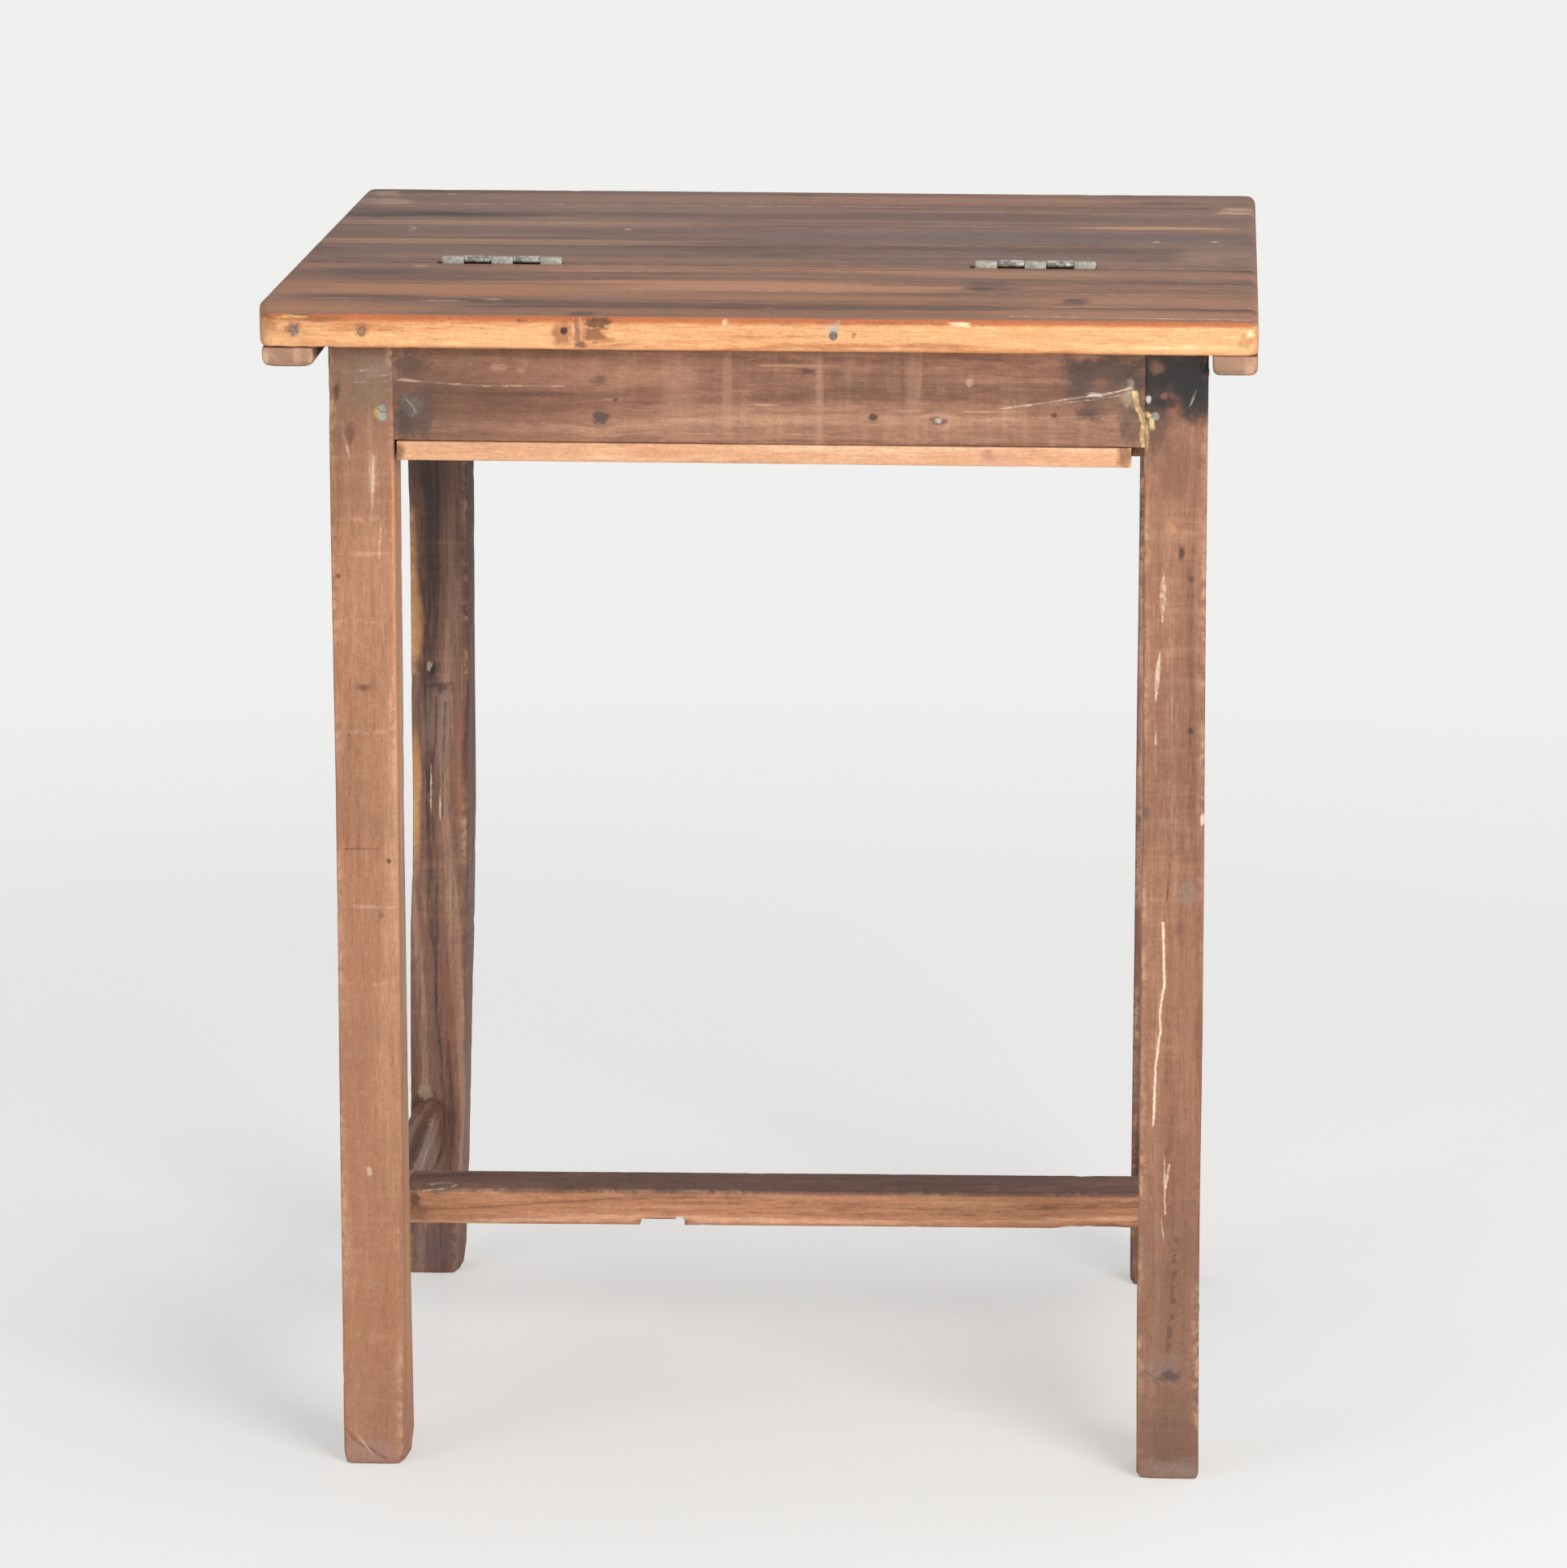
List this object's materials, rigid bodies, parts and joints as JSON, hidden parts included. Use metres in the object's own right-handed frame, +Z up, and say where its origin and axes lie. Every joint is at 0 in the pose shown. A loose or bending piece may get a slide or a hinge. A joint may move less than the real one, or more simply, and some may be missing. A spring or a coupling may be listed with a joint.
{
  "type": "school desk",
  "caption": "Free-standing wooden school desk: square legs, low H stretcher, and a shallow storage box under an overhanging top whose front part is a lid hinged to the fixed back part.",
  "frame": {"origin": "on the floor, under the middle of the top", "axes": "+Z up, +X to the right when seen from the back of the desk, +Y towards the sitter; the fixed strip of the top is at the back, -Y, and the lid's free edge is at +Y"},
  "size_m": [0.625, 0.558, 0.7555],
  "materials": {
    "top_wood": "worn oiled teak, grey brown with orange and dark streaks",
    "edge_wood": "worn oiled teak, pale orange where rubbed",
    "leg_wood": "oiled teak with saw marks, knots and dents",
    "apron_wood": "darker oiled teak with saw marks",
    "floor_wood": "pale sawn teak",
    "rail_wood": "oiled teak, dark on top, splintered lower edge",
    "cleat_wood": "oiled teak",
    "hinge_steel": "dull galvanised steel with grime",
    "screw_steel": "dull steel",
    "nail_iron": "dark oxidised iron"
  },
  "bodies": {
    "frame": {"leg_back_left": "leg_wood", "leg_back_right": "leg_wood", "leg_front_left": "leg_wood", "leg_front_right": "leg_wood", "apron_back": "apron_wood", "apron_front": "apron_wood", "apron_left": "apron_wood", "apron_right": "apron_wood", "floor_board_1": "floor_wood", "floor_board_2": "floor_wood", "floor_board_3": "floor_wood", "floor_board_4": "floor_wood", "side_rail_left": "rail_wood", "side_rail_right": "rail_wood", "cross_rail": "rail_wood", "fixed_top_edge_strip": "edge_wood", "fixed_top_board_1": "top_wood", "fixed_top_board_2": "top_wood", "fixed_cleat_left": "cleat_wood", "fixed_cleat_right": "cleat_wood", "hinge_left_fixed_leaf": "hinge_steel", "hinge_right_fixed_leaf": "hinge_steel", "hinge_left_pin": "hinge_steel", "hinge_right_pin": "hinge_steel", "fixed_leaf_screws": "screw_steel", "edge_nails": "nail_iron", "fixed_top_nails": "nail_iron", "fixed_cleat_nails": "nail_iron", "floor_nails": "nail_iron", "joint_nails": "nail_iron"},
    "lid": {"lid_board_1": "top_wood", "lid_board_2": "top_wood", "lid_board_3": "top_wood", "lid_board_4": "top_wood", "lid_cleat_left": "cleat_wood", "lid_cleat_right": "cleat_wood", "hinge_left_lid_leaf": "hinge_steel", "hinge_right_lid_leaf": "hinge_steel", "lid_leaf_screws": "screw_steel", "lid_cleat_nails": "nail_iron"}
  },
  "joints": [
    {"name": "lid_hinge", "type": "hinge", "parent": "frame", "child": "lid", "pos_m": [0, -0.0615, 0.752], "axis": [1, 0, 0], "range_deg": [0, 181]}
  ]
}
